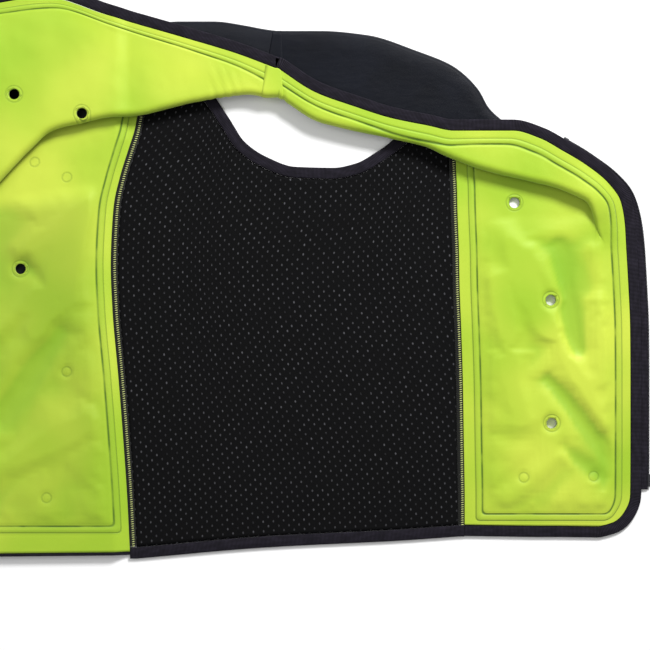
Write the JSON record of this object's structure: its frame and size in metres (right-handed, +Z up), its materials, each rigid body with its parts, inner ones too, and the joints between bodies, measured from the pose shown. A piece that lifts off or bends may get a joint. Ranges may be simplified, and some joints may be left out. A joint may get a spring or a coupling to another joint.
{
  "type": "cooling vest",
  "caption": "Sleeveless zip-front cooling vest lying open, inner side up, with padded lime panels, dotted mesh sides and bound edges.",
  "frame": {"origin": "centre of the laid-out vest's box, on the surface it lies on", "axes": "+X from the folded right side to the left front's zipper edge, +Y from hem to shoulders, +Z up"},
  "size_m": [0.9208, 0.5422, 0.0212],
  "materials": {
    "lime_cloth": "coated, semi-matte",
    "shell_cloth": "coated nylon, satin",
    "side_mesh": "dotted mesh, matte",
    "overlock_thread": "stitched, matte",
    "binding": "ribbed tape, matte",
    "zipper_tape": "woven tape, matte",
    "zipper_plastic": "moulded, satin"
  },
  "bodies": {
    "root": {"back_panel": "lime_cloth", "left_front_panel": "lime_cloth", "right_front_panel": "lime_cloth", "back_shell": "shell_cloth", "left_front_shell": "shell_cloth", "right_front_shell": "shell_cloth", "left_side_mesh": "side_mesh", "right_side_mesh": "side_mesh", "left_back_overlock": "overlock_thread", "left_front_overlock": "overlock_thread", "right_back_overlock": "overlock_thread", "right_front_overlock": "overlock_thread", "left_front_binding": "binding", "right_front_binding": "binding", "left_side_hem_binding": "binding", "right_side_hem_binding": "binding", "back_hem_binding": "binding", "left_armhole_binding": "binding", "right_armhole_binding": "binding", "left_strap_armhole_binding": "binding", "left_back_armhole_binding": "binding", "right_back_armhole_binding": "binding", "back_neck_binding": "binding", "right_strap_armhole_binding": "binding", "left_zipper_tape": "zipper_tape", "right_zipper_tape": "zipper_tape", "left_zipper_coil": "zipper_plastic", "right_zipper_coil": "zipper_plastic", "zipper_pin": "zipper_plastic", "zipper_top_stop": "zipper_plastic", "zipper_slider": "zipper_plastic"}
  },
  "joints": []
}
